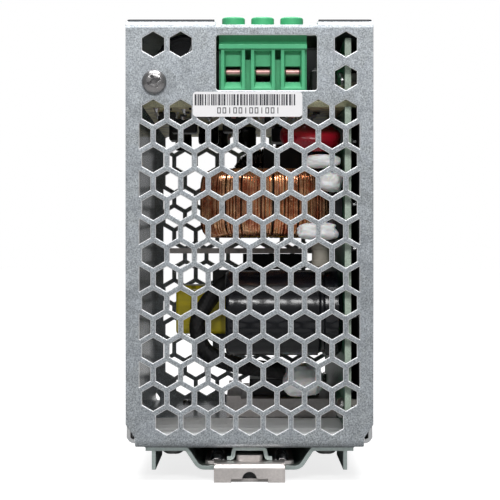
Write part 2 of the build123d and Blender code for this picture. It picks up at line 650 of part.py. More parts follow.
def terminal_block(xs, side):
    # side is -1 or 1; depths are measured from the wire entry face inwards
    def y_at(depth):
        return side * (BLOCK_Y - depth)

    x0 = xs[0] - PITCH / 2 + END_TRIM
    x1 = xs[-1] + PITCH / 2 - END_TRIM
    outline = [
        (1.2, BLOCK_BASE_Z),
        (1.2, 96.9),
        (0.5, 96.9),
        (0.5, 107.4),
        (0.0, 107.4),
        (0.0, 108.5),
        (2.8, 108.6),
        (1.2, BLOCK_TOP_Z),
        (BLOCK_DEPTH, BLOCK_TOP_Z),
        (BLOCK_DEPTH, BLOCK_BASE_Z),
    ]
    with BuildPart() as block:
        with BuildSketch(Plane.YZ.offset(x0)):
            with BuildLine():
                Polyline(*[(y_at(depth), z) for depth, z in outline], close=True)
            make_face()
        extrude(amount=x1 - x0)
        # screw bosses
        with BuildSketch(Plane.XY.offset(BLOCK_TOP_Z)):
            with Locations(*[(x, side * SCREW_Y) for x in xs]):
                Circle(BOSS_R)
        extrude(amount=BOSS_TOP_Z - BLOCK_TOP_Z)
        fillet(block.edges().group_by(Axis.Z)[-1], 0.5)
        with BuildSketch(Plane.XY.offset(BLOCK_TOP_Z + 0.1)):
            with Locations(*[(x, side * SCREW_Y) for x in xs]):
                Circle(HEAD_R + 0.3)
        extrude(amount=10, mode=Mode.SUBTRACT)
        with BuildSketch(Plane.XY.offset(CHAMBER_Z[1] - 1)):
            with Locations(*[(x, side * SCREW_Y) for x in xs]):
                Circle(THREAD_R + 0.3)
        extrude(amount=10, mode=Mode.SUBTRACT)
        for x in xs:
            # funnel, wire channel, cage chamber and the slot of the contact pin
            with BuildSketch(Plane.XZ.offset(-y_at(0.4))):
                with Locations((x, 102.15)):
                    Rectangle(2 * CELL_HALF_W, 9.7)
            with BuildSketch(Plane.XZ.offset(-y_at(2.2))):
                with Locations((x, 102.95)):
                    Rectangle(2 * WIRE_HALF_W, 7.9)
            loft(mode=Mode.SUBTRACT)
            box_between(
                x - WIRE_HALF_W, x + WIRE_HALF_W, y_at(2.0), y_at(19.3), *WIRE_Z, mode=Mode.SUBTRACT
            )
            chamber_y = (side * (SCREW_Y - CHAMBER_HALF_L), side * (SCREW_Y + CHAMBER_HALF_L))
            box_between(
                x - CHAMBER_HALF_W, x + CHAMBER_HALF_W, *chamber_y, *CHAMBER_Z, mode=Mode.SUBTRACT
            )
            box_between(x - 0.8, x + 0.8, y_at(17.6), y_at(19.2), 90, 101, mode=Mode.SUBTRACT)
        for x in [x + PITCH / 2 for x in xs[:-1]]:
            # slots between the poles, deeper near the top
            slot_x = (x - SLOT_HALF_W, x + SLOT_HALF_W)
            box_between(*slot_x, y_at(-1), y_at(SLOT_DEPTH), 90, SLOT_TOP_Z, mode=Mode.SUBTRACT)
            box_between(*slot_x, y_at(-1), y_at(6.0), 104.8, SLOT_TOP_Z, mode=Mode.SUBTRACT)
        for x in (x0, x1):
            # both ends are cut back under the lip
            end_x = (x - END_SLOT, x + END_SLOT)
            box_between(*end_x, y_at(-1), y_at(SLOT_DEPTH), 90, SLOT_TOP_Z, mode=Mode.SUBTRACT)
    return block


def contact_bars(xs, side):
    def y_at(depth):
        return side * (BLOCK_Y - depth)

    with BuildPart() as bars:
        for x in xs:
            with BuildSketch(Plane.YZ.offset(x - BAR_HALF_W)):
                with Locations((y_at(10.9), sum(BAR_Z) / 2)):
                    RectangleRounded(16.0, BAR_Z[1] - BAR_Z[0], 0.8)
            extrude(amount=2 * BAR_HALF_W)
            box_between(x - 0.6, x + 0.6, y_at(17.9), y_at(18.8), FRONT_BOARD_Z - 1.9, BAR_Z[0] + 0.8)
    return bars


def clamp_cage(x, side):
    y = side * SCREW_Y
    with BuildPart() as cage:
        box_between(x - CAGE_HALF_W, x + CAGE_HALF_W, y - CAGE_HALF_L, y + CAGE_HALF_L, *CAGE_Z)
        box_between(x - 1.95, x + 1.95, y - 4, y + 4, CAGE_Z[0] + 1.1, CAGE_Z[1] - 2.2, mode=Mode.SUBTRACT)
        with BuildSketch(Plane.XY.offset(CAGE_Z[1] - 3)):
            with Locations((x, y)):
                Circle(THREAD_R + 0.05)
        extrude(amount=4, mode=Mode.SUBTRACT)
    return cage


def clamp_screw(x, side, turn):
    y = side * SCREW_Y
    with BuildPart() as screw:
        with BuildSketch(Plane.XY.offset(BAR_Z[1] + 0.1)):
            with Locations((x, y)):
                Circle(THREAD_R)
        extrude(amount=HEAD_Z - BAR_Z[1])
        with BuildSketch(Plane.XY.offset(HEAD_Z)):
            with Locations((x, y)):
                Circle(HEAD_R)
        extrude(amount=HEAD_H)
        chamfer(screw.edges().group_by(Axis.Z)[-1], 0.3)
        # combined slot and cross recess
        with BuildSketch(Plane.XY.offset(HEAD_Z + HEAD_H - 1.1)):
            with Locations(Location((x, y), turn)):
                Rectangle(5.0, 0.75)
                Rectangle(0.75, 2.8)
        extrude(amount=2, mode=Mode.SUBTRACT)
    return screw


for row, xs, side in (("input", INPUT_XS, -1), ("output", OUTPUT_XS, 1)):
    save(terminal_block(xs, side), f"{row}_terminal_block")
    save(contact_bars(xs, side), f"{row}_contact_bars")
    for number, x in enumerate(xs, start=1):
        save(clamp_cage(x, side), f"{row}_clamp_{number}")
        save(clamp_screw(x, side, 25 + 40 * number), f"{row}_screw_{number}")

# ---------------------------------------------------------------- input filter
CHOKE_CENTRE = (4.4, -34.6, 68.7)
CHOKE_R = 17.8
CHOKE_BORE_R = 6.6
CHOKE_HALF_H = 9.2
WIRE_COVER = 2.1


with BuildPart() as choke_core:
    with BuildSketch(Plane.XZ):
        with Locations(((CHOKE_R + CHOKE_BORE_R) / 2, 0)):
            RectangleRounded(
                CHOKE_R - CHOKE_BORE_R - 2 * WIRE_COVER - 0.1, 2 * (CHOKE_HALF_H - WIRE_COVER) - 0.1, 1.5
            )
    revolve(axis=Axis.Z)
choke_core.part = Pos(*CHOKE_CENTRE) * choke_core.part
save(choke_core, "line_choke_core")

WINDING_GAP = 34.0  # degrees left open towards the main board

with BuildPart() as choke_winding:
    with BuildSketch(Plane.XZ):
        with Locations(((CHOKE_R + CHOKE_BORE_R) / 2, 0)):
            RectangleRounded(CHOKE_R - CHOKE_BORE_R, 2 * CHOKE_HALF_H, 3.4)
            RectangleRounded(
                CHOKE_R - CHOKE_BORE_R - 2 * WIRE_COVER,
                2 * (CHOKE_HALF_H - WIRE_COVER),
                1.5,
                mode=Mode.SUBTRACT,
            )
    revolve(axis=Axis.Z, revolution_arc=360 - WINDING_GAP)
choke_winding.part = Pos(*CHOKE_CENTRE) * Rot(0, 0, WINDING_GAP / 2) * choke_winding.part
save(choke_winding, "line_choke_winding")

with BuildPart() as choke_base:
    with BuildSketch(Plane.YZ.offset(MAIN_X - GAP - 1.9)):
        with Locations((CHOKE_CENTRE[1], CHOKE_CENTRE[2])):
            RectangleRounded(30.0, 19.0, 1.5)
            with GridLocations(24.0, 13.0, 2, 2):
                Circle(1.1, mode=Mode.SUBTRACT)
    extrude(amount=1.9)
save(choke_base, "choke_base")

FILTER_CENTRE = (4.2, -1.0, 75.6)

with BuildPart() as filter_choke:
    with BuildSketch(Plane.XY):
        with Locations((6.9, 0)):
            RectangleRounded(6.2, 8.0, 2.4)
    revolve(axis=Axis.Y)
filter_choke.part = Pos(*FILTER_CENTRE) * filter_choke.part
save(filter_choke, "filter_choke")

with BuildPart() as inrush_relay:
    box_between(4.0, MAIN_X - GAP, -16.2, -6.0, 78.3, 85.4)
    fillet(inrush_relay.edges().filter_by(Axis.X), 0.6)
save(inrush_relay, "inrush_relay")

VARISTOR_R = 8.0
VARISTOR_T = 4.8

with BuildPart() as varistor:
    # coated disc whose leads enter the main board
    with BuildSketch(Plane.XY.offset(-VARISTOR_T / 2)):
        Circle(VARISTOR_R)
    extrude(amount=VARISTOR_T)
    fillet(varistor.edges(), 2.0)
varistor.part = Pos(16.0, -47.0, 86.0) * Rot(17, 4, 0) * varistor.part
save(varistor, "varistor")

with BuildPart() as input_fuse:
    with BuildSketch(Plane.XY.offset(51.6)):
        with Locations((18.7, -48.4)):
            Circle(2.45)
    extrude(amount=6.8)
    fillet(input_fuse.edges(), 0.5)
save(input_fuse, "input_fuse")

CAPACITOR_R = 11.25
CAPACITOR_Y = -41.6
CAPACITOR_Z = 39.5
CAPACITOR_X0 = -6.3

with BuildPart() as bulk_capacitor:
    # can with a crimped groove near its leads
    with BuildSketch(Plane.XY):
        with BuildLine():
            Polyline((CAPACITOR_X0, 0), (CAPACITOR_X0, CAPACITOR_R - 1.2))
            RadiusArc(
                (CAPACITOR_X0, CAPACITOR_R - 1.2), (CAPACITOR_X0 + 1.2, CAPACITOR_R), 1.2
            )
            Line((CAPACITOR_X0 + 1.2, CAPACITOR_R), (18.1, CAPACITOR_R))
            ThreePointArc((18.1, CAPACITOR_R), (18.95, CAPACITOR_R - 0.8), (19.8, CAPACITOR_R))
            Polyline((19.8, CAPACITOR_R), (23.2, CAPACITOR_R), (24.2, CAPACITOR_R - 1), (24.2, 0))
            Line((24.2, 0), (CAPACITOR_X0, 0))
        make_face()
    revolve(axis=Axis.X)
bulk_capacitor.part = Pos(0, CAPACITOR_Y, CAPACITOR_Z) * bulk_capacitor.part
save(bulk_capacitor, "bulk_capacitor")

# ---------------------------------------------------------------- converter
with BuildPart() as primary_heatsink:
    # plate across the case with a foot on the main board and a clip slot
    box_between(-23.4, MAIN_X - GAP, -2.0, 46.0, 55.4, 56.9)
    box_between(MAIN_X - 1.6, MAIN_X - GAP, -2.0, 46.0, 56.9, 62.0)
    box_between(-3.6, -0.6, -3, 1.4, 50, 60, mode=Mode.SUBTRACT)
save(primary_heatsink, "primary_heatsink")

with BuildPart() as power_transistors:
    # flat packages under the plate, leads towards the main board
    for y in (25.0, 40.0):
        box_between(-2.0, 16.0, y - 5.0, y + 5.0, 50.6, 55.3)
        for lead_y in (y - 2.54, y, y + 2.54):
            box_between(15.9, MAIN_X - GAP, lead_y - 0.5, lead_y + 0.5, 52.4, 53.0)
save(power_transistors, "power_transistors")

with BuildPart() as transformer_winding:
    with BuildSketch(Plane.YZ.offset(-21.0)):
        with Locations((5.4, 39.25)):
            RectangleRounded(26.0, 13.9, 1.6)
    extrude(amount=43.0)
    fillet(transformer_winding.faces().sort_by(Axis.X)[0].edges(), 0.8)
save(transformer_winding, "transformer_winding")

with BuildPart() as transformer_core:
    # U shaped ferrite around the winding, two yokes and a back limb
    box_between(-10.6, 20.0, -5.2, 25.6, 46.3, 50.4)
    box_between(-10.6, 20.0, -5.2, 25.6, 28.1, 32.2)
    box_between(-10.6, 20.0, 18.6, 25.6, 32.2, 46.3)
    fillet(transformer_core.edges().filter_by(Axis.Z), 0.6)
save(transformer_core, "transformer_core")

with BuildPart() as rear_heatsink:
    box_between(-6.4, MAIN_X - GAP, -16.6, 44.0, 9.4, 14.6)
    box_between(-6.4, -2.4, -16.6, 44.0, 14.6, 15.4)
save(rear_heatsink, "rear_heatsink")

with BuildPart() as bridge_rectifier:
    box_between(0.0, 20.0, -6.0, 24.0, 14.8, 19.4)
    fillet(bridge_rectifier.edges().filter_by(Axis.Z), 0.8)
save(bridge_rectifier, "bridge_rectifier")

with BuildPart() as output_choke:
    with BuildSketch(Plane.XZ):
        with Locations((7.4, 0)):
            RectangleRounded(6.0, 9.0, 2.2)
    revolve(axis=Axis.Z)
output_choke.part = Pos(12.6, 36.0, 71.0) * output_choke.part
save(output_choke, "output_choke")

OUTPUT_CAN_R = 5.0
OUTPUT_CAN_X0 = 4.0
FRONT_CAN_R = 7.6
FRONT_CAN_XZ = (-16.6, 104.2)
FRONT_CAN_Y = (-57.0, -39.0)

with BuildPart() as small_capacitors:
    # four cans on the main board at the output end
    with BuildSketch(Plane.YZ.offset(OUTPUT_CAN_X0)):
        with Locations((34.5, 45.0), (46.0, 45.0), (34.5, 33.0), (46.0, 33.0)):
            Circle(OUTPUT_CAN_R)
    extrude(amount=MAIN_X - GAP - OUTPUT_CAN_X0)
    # one can lying on the front board beside the input terminals
    with BuildSketch(Plane.XZ.offset(-FRONT_CAN_Y[1])):
        with Locations(FRONT_CAN_XZ):
            Circle(FRONT_CAN_R)
    extrude(amount=FRONT_CAN_Y[1] - FRONT_CAN_Y[0])
save(small_capacitors, "small_capacitors")

LEAD_R = 2.3
LEAD_ROUTE = [
    (1.0, -14.0, 51.5),
    (-9.0, -15.0, 45.8),
    (-15.2, -16.5, 36.5),
    (-13.4, -18.0, 28.0),
    (-4.5, -20.0, 24.2),
    (10.4, -22.0, 22.6),
]


def route_radii(points):
    # each arc is as large as its two straight runs allow
    radii = []
    for before, corner, after in zip(points, points[1:], points[2:]):
        run_in = Vector(*corner) - Vector(*before)
        run_out = Vector(*after) - Vector(*corner)
        half_turn = math.radians(run_in.get_angle(run_out)) / 2
        radii.append(0.45 * min(run_in.length, run_out.length) / math.tan(half_turn))
    return radii


with BuildPart() as sleeved_lead:
    with BuildLine() as lead_path:
        FilletPolyline(*LEAD_ROUTE, radius=route_radii(LEAD_ROUTE))
    with BuildSketch(Plane(origin=lead_path.line @ 0, z_dir=lead_path.line % 0)):
        Circle(LEAD_R)
    sweep()
save(sleeved_lead, "sleeved_lead")

# silicone beads: centre and half sizes
BEADS = [
    ((18.9, -52.2, 79.3), (4.8, 2.2, 1.9)),
    ((21.2, -52.3, 74.0), (3.0, 2.3, 2.9)),
    ((17.9, -52.5, 61.0), (5.6, 2.2, 2.4)),
    ((14.6, -29.4, 21.0), (5.6, 4.5, 4.8)),
]

with BuildPart() as sealant_beads:
    for centre, half in BEADS:
        with Locations(centre):
            Box(2 * half[0], 2 * half[1], 2 * half[2])
    fillet(sealant_beads.edges(), 1.6)
save(sealant_beads, "sealant_beads")

# ---------------------------------------------------------------- trimmer and status light
TRIM_Z = FRONT_BOARD_Z + BOARD

with BuildPart() as trimmer_body:
    with BuildSketch(Plane.XY.offset(TRIM_Z)):
        with Locations(TRIM_XY):
            RectangleRounded(7.8, 9.6, 0.5)
            Circle(1.9, mode=Mode.SUBTRACT)
    extrude(amount=4.8)
save(trimmer_body, "trimmer_body")

with BuildPart() as trimmer_rotor:
    with BuildSketch(Plane.XY.offset(TRIM_Z + 0.3)):
        with Locations(TRIM_XY):
            Circle(1.6)
    extrude(amount=18.0)
    with BuildSketch(Plane.XY.offset(FRONT_Z - 2.4)):
        with Locations(TRIM_XY):
            Circle(3.2)
    extrude(amount=2.6)
    chamfer(trimmer_rotor.edges().group_by(Axis.Z)[-1], 0.25)
    with BuildSketch(Plane.XY.offset(FRONT_Z - 0.8)):
        with Locations(Location(TRIM_XY, 35)):
            Rectangle(5.2, 0.9)
            Rectangle(0.9, 5.2)
    extrude(amount=3, mode=Mode.SUBTRACT)
save(trimmer_rotor, "trimmer_rotor")

with BuildPart() as status_led:
    with Locations((*LED_XY, TRIM_Z + 0.7)):
        Box(3.2, 2.6, 1.4)
save(status_led, "status_led")

with BuildPart() as light_pipe:
    with BuildSketch(Plane.XY.offset(TRIM_Z + 1.6)):
        with Locations(LED_XY):
            Circle(2.4)
    extrude(amount=14.0)
    with BuildSketch(Plane.XY.offset(TRIM_Z + 15.6)):
        with Locations(LED_XY):
            Circle(1.5)
    extrude(amount=4.9)
    fillet(light_pipe.edges().group_by(Axis.Z)[-1], 0.6)
save(light_pipe, "light_pipe")
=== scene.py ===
import json
import math
import random

import bmesh
import bpy
from mathutils import Matrix, Vector, noise


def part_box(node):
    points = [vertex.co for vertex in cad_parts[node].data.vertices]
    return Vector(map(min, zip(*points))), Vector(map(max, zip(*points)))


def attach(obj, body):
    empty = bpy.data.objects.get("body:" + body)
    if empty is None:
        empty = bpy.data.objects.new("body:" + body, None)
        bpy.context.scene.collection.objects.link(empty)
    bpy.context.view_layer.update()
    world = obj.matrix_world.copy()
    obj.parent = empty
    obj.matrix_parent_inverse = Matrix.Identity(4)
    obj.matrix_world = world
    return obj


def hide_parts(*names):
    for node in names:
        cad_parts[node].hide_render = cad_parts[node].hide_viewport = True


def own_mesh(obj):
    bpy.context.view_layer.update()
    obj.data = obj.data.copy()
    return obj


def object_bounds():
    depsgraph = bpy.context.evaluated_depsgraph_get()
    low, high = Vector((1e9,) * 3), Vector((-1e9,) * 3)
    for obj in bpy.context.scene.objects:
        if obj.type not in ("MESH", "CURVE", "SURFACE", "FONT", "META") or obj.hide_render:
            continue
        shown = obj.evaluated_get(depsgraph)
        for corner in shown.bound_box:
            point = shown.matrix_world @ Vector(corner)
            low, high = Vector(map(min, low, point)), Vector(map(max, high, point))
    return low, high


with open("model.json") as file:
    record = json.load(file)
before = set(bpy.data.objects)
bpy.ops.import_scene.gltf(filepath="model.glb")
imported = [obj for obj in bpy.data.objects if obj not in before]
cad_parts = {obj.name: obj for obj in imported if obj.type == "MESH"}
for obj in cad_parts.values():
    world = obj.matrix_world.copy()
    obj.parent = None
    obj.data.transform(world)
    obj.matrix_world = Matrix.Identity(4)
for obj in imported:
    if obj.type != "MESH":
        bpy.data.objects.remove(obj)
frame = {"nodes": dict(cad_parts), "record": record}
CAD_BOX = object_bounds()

MM = 0.001
NODES = frame["nodes"]
CASE = "case"
AXIS_Z = Matrix.Identity(4)
AXIS_Y = Matrix.Rotation(math.radians(-90), 4, "X")  # turns local Z to +Y
AXIS_X = Matrix.Rotation(math.radians(90), 4, "Y")  # turns local Z to +X


# ---------------------------------------------------------------- materials
class Shader:
    """A Principled material with the node links that most finishes share."""

    def __init__(self, name, colour, rough, metal=0.0, **sockets):
        self.material = bpy.data.materials.new(name)
        self.material.use_nodes = True
        self.tree = self.material.node_tree
        self.bsdf = self.tree.nodes["Principled BSDF"]
        self.colour = (*colour, 1.0)
        self.rough = rough
        self.bsdf.inputs["Base Color"].default_value = self.colour
        self.bsdf.inputs["Roughness"].default_value = rough
        self.bsdf.inputs["Metallic"].default_value = metal
        for socket, value in sockets.items():
            self.bsdf.inputs[socket.replace("_", " ")].default_value = value
        self.coords = self.node("ShaderNodeTexCoord")

    def node(self, kind, **settings):
        made = self.tree.nodes.new(kind)
        for key, value in settings.items():
            setattr(made, key, value)
        return made

    def link(self, out, into):
        self.tree.links.new(out, into)

    def place(self, stretch=(1, 1, 1)):
        mapping = self.node("ShaderNodeMapping")
        mapping.inputs["Scale"].default_value = stretch
        self.link(self.coords.outputs["Object"], mapping.inputs["Vector"])
        return mapping.outputs["Vector"]

    def noise(self, scale, detail=2.0, stretch=(1, 1, 1), low=0.35, high=0.65):
        """Noise stretched to the range 0 to 1. scale is in cells per metre."""
        tex = self.node("ShaderNodeTexNoise")
        tex.inputs["Scale"].default_value = scale
        tex.inputs["Detail"].default_value = detail
        self.link(self.place(stretch), tex.inputs["Vector"])
        return self.spread(tex.outputs["Fac"], low, high, 0.0, 1.0)

    def spread(self, value, low, high, to_low, to_high):
        ranged = self.node("ShaderNodeMapRange")
        ranged.inputs["From Min"].default_value = low
        ranged.inputs["From Max"].default_value = high
        ranged.inputs["To Min"].default_value = to_low
        ranged.inputs["To Max"].default_value = to_high
        self.link(value, ranged.inputs["Value"])
        return ranged.outputs["Result"]

    def maths(self, operation, a, b):
        made = self.node("ShaderNodeMath", operation=operation)
        for socket, value in zip(made.inputs, (a, b)):
            if isinstance(value, (int, float)):
                socket.default_value = value
            else:
                self.link(value, socket)
        return made.outputs["Value"]

    def mix(self, factor, first, second):
        """first and second are colours or sockets."""
        made = self.node("ShaderNodeMix", data_type="RGBA")
        self.link(factor, made.inputs["Factor"])
        for socket, value in ((made.inputs["A"], first), (made.inputs["B"], second)):
            if isinstance(value, tuple):
                socket.default_value = value
            else:
                self.link(value, socket)
        return made.outputs["Result"]

    def shade(self, by):
        return tuple(min(1.0, channel * by) for channel in self.colour[:3]) + (1.0,)

    def paint(self, socket):
        self.link(socket, self.bsdf.inputs["Base Color"])

    def roughen(self, value, spread):
        rough = self.spread(value, 0.0, 1.0, self.rough - spread, self.rough + spread)
        self.link(rough, self.bsdf.inputs["Roughness"])

    def bump(self, heights, edge=0.0):
        """heights are (value, depth in metres); edge is the radius that sharp edges are rounded by."""
        normal = None
        if edge:
            bevel = self.node("ShaderNodeBevel", samples=4)
            bevel.inputs["Radius"].default_value = edge
            normal = bevel.outputs["Normal"]
        for value, depth in heights:
            made = self.node("ShaderNodeBump")
            made.inputs["Distance"].default_value = depth
            self.link(value, made.inputs["Height"])
            if normal:
                self.link(normal, made.inputs["Normal"])
            normal = made.outputs["Normal"]
        if normal:
            self.link(normal, self.bsdf.inputs["Normal"])


def finish(name, colour, rough, metal=0.0, tone=0.10, grain=1500.0, blotch=120.0, depth=0.01,
           spread=0.06, edge=0.0, stretch=(1, 1, 1), **sockets):
    """The common finish: fine grain and broad unevenness in tone, gloss and relief."""
    s = Shader(name, colour, rough, metal, **sockets)
    fine = s.noise(grain, 3.0, stretch)
    broad = s.noise(blotch, 3.0)
    both = s.maths("ADD", s.maths("MULTIPLY", fine, 0.55), s.maths("MULTIPLY", broad, 0.45))
    s.paint(s.mix(both, s.shade(1 - tone), s.shade(1 + tone)))
    s.roughen(broad, spread)
    s.bump([(fine, depth * MM)], edge)
    return s.material


def galvanised(name, colour, rough=0.42, speckle=0.52, metal=0.72, edge=0.24 * MM):
    """Zinc coated sheet: fine sparkle, faint crystals and rolling marks."""
    s = Shader(name, colour, rough, metal)
    fine = s.noise(4400.0, 2.0, low=0.32, high=0.68)
    dots = s.noise(2600.0, 1.0, low=0.38, high=0.66)
    crystals = s.node("ShaderNodeTexVoronoi", feature="F1")
    crystals.inputs["Scale"].default_value = 320.0
    s.link(s.place(), crystals.inputs["Vector"])
    tone = s.maths("ADD", s.maths("MULTIPLY", fine, 0.5), s.maths("MULTIPLY", dots, 0.5))
    speckled = s.mix(tone, s.shade(1 - speckle), s.shade(1 + speckle))
    facet = s.node("ShaderNodeSeparateColor")
    s.link(crystals.outputs["Color"], facet.inputs["Color"])
    hue = s.spread(facet.outputs["Red"], 0.0, 1.0, 0.0, 0.18)
    s.paint(s.mix(hue, speckled, (colour[0] * 1.06, colour[1] * 1.08, colour[2] * 1.22, 1.0)))
    s.roughen(facet.outputs["Green"], 0.07)
    marks = s.noise(700.0, 2.0, (1, 1, 0.04))
    s.bump([(fine, 0.010 * MM * rough / 0.42), (marks, 0.004 * MM)], edge)
    return s.material


def board(name, face, edge_colour, axis):
    """Printed board: solder mask with tracks on its faces, fibre on its sawn edges."""
    s = Shader(name, face, 0.38)
    normal = s.node("ShaderNodeSeparateXYZ")
    s.link(s.coords.outputs["Normal"], normal.inputs["Vector"])
    on_face = s.spread(s.maths("ABSOLUTE", normal.outputs[axis], 0.0), 0.45, 0.55, 0.0, 1.0)
    tracks = s.node("ShaderNodeTexVoronoi", feature="DISTANCE_TO_EDGE")
    tracks.inputs["Scale"].default_value = 150.0
    tracks.inputs["Randomness"].default_value = 0.75
    s.link(s.place(), tracks.inputs["Vector"])
    copper = s.spread(tracks.outputs["Distance"], 0.08, 0.11, 0.0, 1.0)
    masked = s.mix(copper, s.shade(0.72), s.shade(1.12))
    fibre = s.mix(
        s.noise(2600.0, 2.0), tuple(0.72 * c for c in edge_colour) + (1.0,), (*edge_colour, 1.0)
    )
    s.paint(s.mix(on_face, fibre, masked))
    s.bump([(copper, 0.03 * MM), (s.noise(2000.0), 0.01 * MM)])
    return s.material


def tape(name, colour):
    """Polyester tape wound in layers, whose edges show as fine lines."""
    s = Shader(name, colour, 0.30, Coat_Weight=0.3, Coat_Roughness=0.2)
    wave = s.node("ShaderNodeTexWave", bands_direction="X")
    wave.inputs["Scale"].default_value = 40.0
    wave.inputs["Distortion"].default_value = 1.2
    s.link(s.place(), wave.inputs["Vector"])
    layer = s.spread(wave.outputs["Fac"], 0.02, 0.10, 0.0, 1.0)
    crease = s.noise(260.0, 3.0, (0.3, 1, 1))
    toned = s.mix(crease, s.shade(0.72), s.shade(1.18))
    s.paint(s.mix(layer, s.shade(0.5), toned))
    s.roughen(crease, 0.08)
    s.bump([(layer, 0.06 * MM), (crease, 0.10 * MM)])
    return s.material


def braid(name, colour):
    """Woven sleeve: two crossing diagonal waves."""
    s = Shader(name, colour, 0.62)
    heights = []
    for turn in (38, -38):
        wave = s.node("ShaderNodeTexWave", bands_direction="X")
        wave.inputs["Scale"].default_value = 300.0
        mapping = s.node("ShaderNodeMapping")
        mapping.inputs["Rotation"].default_value = (math.radians(turn), math.radians(turn), 0)
        s.link(s.coords.outputs["Object"], mapping.inputs["Vector"])
        s.link(mapping.outputs["Vector"], wave.inputs["Vector"])
        heights.append(wave.outputs["Fac"])
    weave = s.maths("MULTIPLY", heights[0], heights[1])
    s.paint(s.mix(weave, s.shade(0.7), s.shade(1.4)))
    s.bump([(weave, 0.12 * MM)])
    return s.material


def enamelled(name, colour, dark):
    """Enamelled wire: glossy, redder and darker in patches where the enamel is thick."""
    s = Shader(name, colour, 0.20, 0.88, Coat_Weight=0.7, Coat_Roughness=0.08, Coat_IOR=1.55)
    patch = s.noise(300.0, 3.0)
    s.paint(s.mix(patch, (*dark, 1.0), s.shade(1.12)))
    s.roughen(s.noise(900.0), 0.08)
    s.bump([(s.noise(1400.0), 0.008 * MM)])
    return s.material


SHEET_COLOUR = (0.362, 0.388, 0.405)
MATERIALS = {
    "galvanised_sheet": galvanised("galvanised_sheet", SHEET_COLOUR),
    "bright_sheet": galvanised("bright_sheet", (0.62, 0.63, 0.63), 0.13, 0.10, 1.0, 0.12 * MM),
    # bare cut zinc on the hole rims, made much lighter than the sheet as a painted highlight
    "sheared_zinc_painted_highlight": finish("sheared_zinc_painted_highlight", (0.82, 0.83, 0.84), 0.4, 0.6, grain=2600, depth=0.004),
    "overlay_film": finish("overlay_film", (0.060, 0.064, 0.070), 0.55, tone=0.12, grain=4200, depth=0.02),
    "label_film": finish("label_film", (0.78, 0.77, 0.78), 0.45, tone=0.02, grain=2500, depth=0.004),
    "label_ink": finish("label_ink", (0.035, 0.035, 0.045), 0.55, tone=0.25, grain=3000),
    "panel_ink": finish("panel_ink", (0.72, 0.72, 0.70), 0.6, tone=0.05, grain=3000),
    "zinc_screw": finish("zinc_screw", (0.36, 0.35, 0.35), 0.27, 0.95, grain=2200, edge=0.1 * MM),
    "bracket_zinc": finish("bracket_zinc", (0.48, 0.55, 0.53), 0.40, 0.9, grain=1700, edge=0.15 * MM),
    "latch_zinc": finish("latch_zinc", (0.62, 0.58, 0.56), 0.45, 0.85, grain=1700, edge=0.15 * MM),
    "spring_wire": finish("spring_wire", (0.55, 0.55, 0.56), 0.22, 1.0, grain=2200),
    "board_green": board("board_green", (0.020, 0.115, 0.060), (0.46, 0.56, 0.46), "X"),
    "board_cream": board("board_cream", (0.80, 0.74, 0.42), (0.92, 0.88, 0.58), "Z"),
    "standoff_nickel": finish("standoff_nickel", (0.50, 0.48, 0.44), 0.3, 1.0),
    "insulator_black": finish("insulator_black", (0.012, 0.012, 0.014), 0.55, grain=700, blotch=50),
    "insulator_white": finish("insulator_white", (0.96, 0.97, 0.98), 0.40, tone=0.03, grain=900, depth=0.004,
                              spread=0.05, Specular_IOR_Level=0.9),
    "header_black": finish("header_black", (0.015, 0.015, 0.016), 0.45),
    "solder": finish("solder", (0.80, 0.80, 0.81), 0.34, 1.0, grain=900, depth=0.03),
    "small_parts": finish("small_parts", (0.022, 0.024, 0.026), 0.42, edge=0.1 * MM),
    "terminal_green": finish("terminal_green", (0.070, 0.400, 0.190), 0.40, tone=0.06, grain=1100,
                             edge=0.18 * MM, Specular_IOR_Level=0.45),
    "terminal_copper": finish("terminal_copper", (0.62, 0.35, 0.33), 0.42, 0.85, tone=0.2, grain=900),
    "terminal_steel": finish("terminal_steel", (0.50, 0.50, 0.51), 0.3, 1.0, grain=1900, edge=0.08 * MM),
    "ferrite": finish("ferrite", (0.028, 0.027, 0.026), 0.5, tone=0.2, grain=1300, depth=0.03),
    "copper_wire": enamelled("copper_wire", (0.96, 0.50, 0.26), (0.55, 0.16, 0.07)),
    "choke_dark": enamelled("choke_dark", (0.050, 0.028, 0.018), (0.022, 0.012, 0.008)),
    "case_black": finish("case_black", (0.010, 0.010, 0.012), 0.34, grain=1300, edge=0.2 * MM),
    "varistor_red": finish("varistor_red", (0.33, 0.006, 0.018), 0.30, tone=0.12, grain=700, depth=0.03,
                           blotch=200, Coat_Weight=0.2),
    "fuse_beige": finish("fuse_beige", (0.36, 0.33, 0.28), 0.4, grain=900),
    "can_sleeve": finish("can_sleeve", (0.007, 0.0075, 0.010), 0.17, tone=0.15, grain=500, depth=0.02,
                         blotch=90, spread=0.03),
    "can_top": finish("can_top", (0.62, 0.62, 0.64), 0.35, 1.0, grain=1500),
    "heatsink": finish("heatsink", (0.46, 0.43, 0.42), 0.42, 0.8, grain=1400, stretch=(1, 0.05, 1)),
    "tape_yellow": tape("tape_yellow", (0.74, 0.60, 0.012)),
    "sealant": finish("sealant", (0.93, 0.93, 0.92), 0.34, tone=0.10, grain=420, blotch=90, depth=0.10,
                      Subsurface_Weight=0.25, Subsurface_Scale=0.002),
    "sleeve_black": braid("sleeve_black", (0.010, 0.010, 0.011)),
    "trimmer_blue": finish("trimmer_blue", (0.02, 0.06, 0.22), 0.4),
    "dial_white": finish("dial_white", (0.30, 0.30, 0.29), 0.50, tone=0.04, edge=0.1 * MM),
    "clear_plastic": finish("clear_plastic", (0.60, 0.86, 0.66), 0.28, tone=0.04,
                            Transmission_Weight=0.75, IOR=1.49),
}


def dress(obj, material):
    obj.data.materials.clear()
    obj.data.materials.append(MATERIALS[material])


